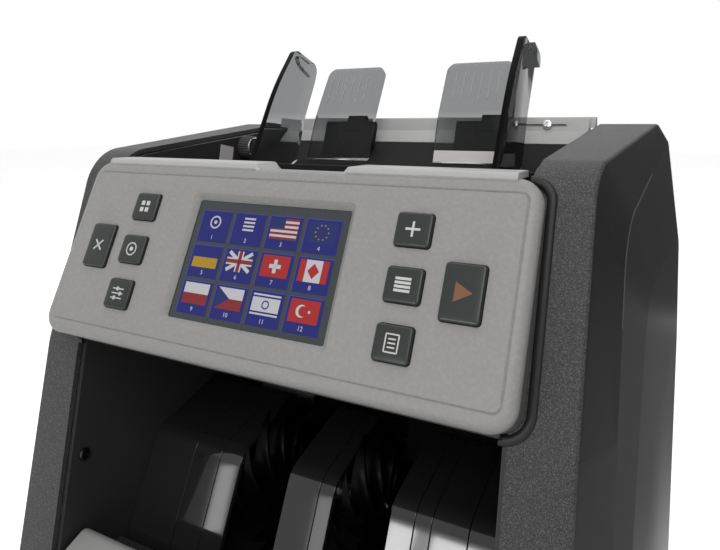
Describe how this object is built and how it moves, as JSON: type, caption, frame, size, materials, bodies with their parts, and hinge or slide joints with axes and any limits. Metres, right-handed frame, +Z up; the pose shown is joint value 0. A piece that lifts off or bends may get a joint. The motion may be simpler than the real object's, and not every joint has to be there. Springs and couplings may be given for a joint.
{
  "type": "banknote counter",
  "caption": "Table-top banknote counter: sloped hopper with sliding guides, tilted panel with display and keys, stacker wheels over a note pocket.",
  "frame": {"origin": "middle of the machine's box on the table", "axes": "+X to the operator's right, +Y to the rear, +Z up"},
  "size_m": [0.298, 0.244, 0.2996],
  "materials": {
    "silver_panel": "fine texture",
    "dark_shell": "fine texture",
    "base_dark": "fine texture",
    "black_liner": "satin",
    "black_gloss": "polished",
    "light_grey": "satin",
    "smoked_clear": "clear smoked",
    "window_glass": "clear",
    "key_dark": "satin",
    "frame_steel": "zinc plated",
    "screw_steel": "plain",
    "shaft_steel": "ground",
    "roller_rubber": "moulded",
    "black_rubber": "moulded",
    "board_green": "solder resist",
    "motor_steel": "plated",
    "pulley_brass": "turned",
    "unit_alu": "folded",
    "ivory_plastic": "satin",
    "rocker_red": "polished"
  },
  "bodies": {
    "machine": {"base_tray": "base_dark", "feet": "black_rubber", "cover_left": "dark_shell", "cover_right": "dark_shell", "frame_left": "frame_steel", "frame_right": "frame_steel", "liner_left": "black_liner", "liner_right": "black_liner", "liner_screws": "screw_steel", "bezel": "silver_panel", "panel_housing": "dark_shell", "display_glass": "window_glass", "display_module": "screw_steel", "key_board": "board_green", "hopper_front": "black_liner", "feed_plate": "black_liner", "hopper_back": "light_grey", "tray_screw": "screw_steel", "rest_left": "smoked_clear", "rest_right": "smoked_clear", "rest_blocks": "black_liner", "guide_base": "black_liner", "sensor_bars": "black_liner", "pocket_ceiling": "black_liner", "chute_left": "black_gloss", "chute_middle": "black_gloss", "chute_right": "black_gloss", "stack_tray": "light_grey", "main_motor": "motor_steel", "stacker_motor": "motor_steel", "drive_belts": "black_rubber", "main_board": "board_green", "power_unit": "unit_alu", "power_inlet": "black_gloss", "rear_panel": "dark_shell"},
    "key_mode": {"key_mode": "key_dark"},
    "key_coin": {"key_coin": "key_dark"},
    "key_setup": {"key_setup": "key_dark"},
    "key_clear": {"key_clear": "key_dark"},
    "key_add": {"key_add": "key_dark"},
    "key_batch": {"key_batch": "key_dark"},
    "key_report": {"key_report": "key_dark"},
    "key_start": {"key_start": "key_dark"},
    "guide_left": {"guide_left": "smoked_clear", "carrier_left": "black_liner"},
    "guide_right": {"guide_right": "smoked_clear", "carrier_right": "black_liner"},
    "guide_pinion": {"guide_pinion": "ivory_plastic"},
    "gap_knob": {"gap_knob": "black_liner"},
    "pickup_roller": {"pickup_roller": "roller_rubber"},
    "feed_roller": {"feed_roller": "roller_rubber"},
    "separator_roller": {"separator_roller": "roller_rubber"},
    "transport_roller": {"transport_roller": "black_rubber"},
    "pinch_roller": {"pinch_roller": "black_rubber"},
    "stacker": {"stacker_shaft": "shaft_steel", "stacker_wheels": "black_gloss"},
    "main_pulley": {"main_pulley": "pulley_brass"},
    "stacker_pulley": {"stacker_pulley": "pulley_brass"},
    "power_rocker": {"power_rocker": "rocker_red"},
    "rear_door": {"rear_door": "dark_shell"}
  },
  "joints": [
    {"name": "key_mode_press", "type": "slide", "parent": "machine", "child": "key_mode", "axis": [0, 0.9011, -0.4337], "range_m": [0, 0.001], "stiffness_N_per_m": 600, "springref_m": -0.001},
    {"name": "key_coin_press", "type": "slide", "parent": "machine", "child": "key_coin", "axis": [0, 0.9011, -0.4337], "range_m": [0, 0.001], "stiffness_N_per_m": 600, "springref_m": -0.001},
    {"name": "key_setup_press", "type": "slide", "parent": "machine", "child": "key_setup", "axis": [0, 0.9011, -0.4337], "range_m": [0, 0.001], "stiffness_N_per_m": 600, "springref_m": -0.001},
    {"name": "key_clear_press", "type": "slide", "parent": "machine", "child": "key_clear", "axis": [0, 0.9011, -0.4337], "range_m": [0, 0.001], "stiffness_N_per_m": 600, "springref_m": -0.001},
    {"name": "key_add_press", "type": "slide", "parent": "machine", "child": "key_add", "axis": [0, 0.9011, -0.4337], "range_m": [0, 0.001], "stiffness_N_per_m": 600, "springref_m": -0.001},
    {"name": "key_batch_press", "type": "slide", "parent": "machine", "child": "key_batch", "axis": [0, 0.9011, -0.4337], "range_m": [0, 0.001], "stiffness_N_per_m": 600, "springref_m": -0.001},
    {"name": "key_report_press", "type": "slide", "parent": "machine", "child": "key_report", "axis": [0, 0.9011, -0.4337], "range_m": [0, 0.001], "stiffness_N_per_m": 600, "springref_m": -0.001},
    {"name": "key_start_press", "type": "slide", "parent": "machine", "child": "key_start", "axis": [0, 0.9011, -0.4337], "range_m": [0, 0.001], "stiffness_N_per_m": 600, "springref_m": -0.001},
    {"name": "guide_left_slide", "type": "slide", "parent": "machine", "child": "guide_left", "axis": [-1, 0, 0], "range_m": [-0.009, 0.018]},
    {"name": "guide_right_slide", "type": "slide", "parent": "machine", "child": "guide_right", "axis": [1, 0, 0], "range_m": [-0.009, 0.018]},
    {"name": "guide_pinion_turn", "type": "hinge", "parent": "machine", "child": "guide_pinion", "pos_m": [0, 0.072, 0.199], "axis": [0, 0, 1], "range_deg": [-43.5, 86.5]},
    {"name": "transport_spin", "type": "hinge", "parent": "machine", "child": "transport_roller", "pos_m": [0, 0.06, 0.118], "axis": [1, 0, 0], "continuous": true},
    {"name": "main_pulley_spin", "type": "hinge", "parent": "machine", "child": "main_pulley", "pos_m": [0, 0.094, 0.072], "axis": [1, 0, 0], "continuous": true},
    {"name": "feed_spin", "type": "hinge", "parent": "machine", "child": "feed_roller", "pos_m": [0, 0.006, 0.172], "axis": [1, 0, 0], "continuous": true},
    {"name": "pickup_spin", "type": "hinge", "parent": "machine", "child": "pickup_roller", "pos_m": [0, 0.03814, 0.19681], "axis": [1, 0, 0], "continuous": true},
    {"name": "pinch_spin", "type": "hinge", "parent": "machine", "child": "pinch_roller", "pos_m": [0, 0.08149, 0.11585], "axis": [1, 0, 0], "continuous": true},
    {"name": "separator_spin", "type": "hinge", "parent": "machine", "child": "separator_roller", "pos_m": [0, -0.02106, 0.17741], "axis": [1, 0, 0], "continuous": true},
    {"name": "stacker_spin", "type": "hinge", "parent": "machine", "child": "stacker", "pos_m": [0, 0.008, 0.072], "axis": [1, 0, 0], "continuous": true},
    {"name": "stacker_pulley_spin", "type": "hinge", "parent": "machine", "child": "stacker_pulley", "pos_m": [0, 0.078, 0.036], "axis": [1, 0, 0], "continuous": true},
    {"name": "gap_knob_turn", "type": "hinge", "parent": "machine", "child": "gap_knob", "pos_m": [-0.095, 0.064, 0.24], "axis": [1, 0, 0], "range_deg": [-135, 135]},
    {"name": "power_rocker_tilt", "type": "hinge", "parent": "machine", "child": "power_rocker", "pos_m": [0.066, 0.1159, 0.048], "axis": [1, 0, 0], "range_deg": [0, 18]},
    {"name": "rear_door_open", "type": "hinge", "parent": "machine", "child": "rear_door", "pos_m": [0, 0.1188, 0.112], "axis": [-1, 0, 0], "range_deg": [0, 80]}
  ],
  "couplings": [
    {"joint": "guide_right_slide", "follows": "guide_left_slide", "ratio": 1},
    {"joint": "guide_pinion_turn", "follows": "guide_left_slide", "rad_per_m": 83.333},
    {"joint": "main_pulley_spin", "follows": "transport_spin", "ratio": 1},
    {"joint": "feed_spin", "follows": "transport_spin", "ratio": 1},
    {"joint": "pickup_spin", "follows": "transport_spin", "ratio": 1},
    {"joint": "pinch_spin", "follows": "transport_spin", "ratio": -1.3333},
    {"joint": "stacker_pulley_spin", "follows": "stacker_spin", "ratio": 1}
  ]
}
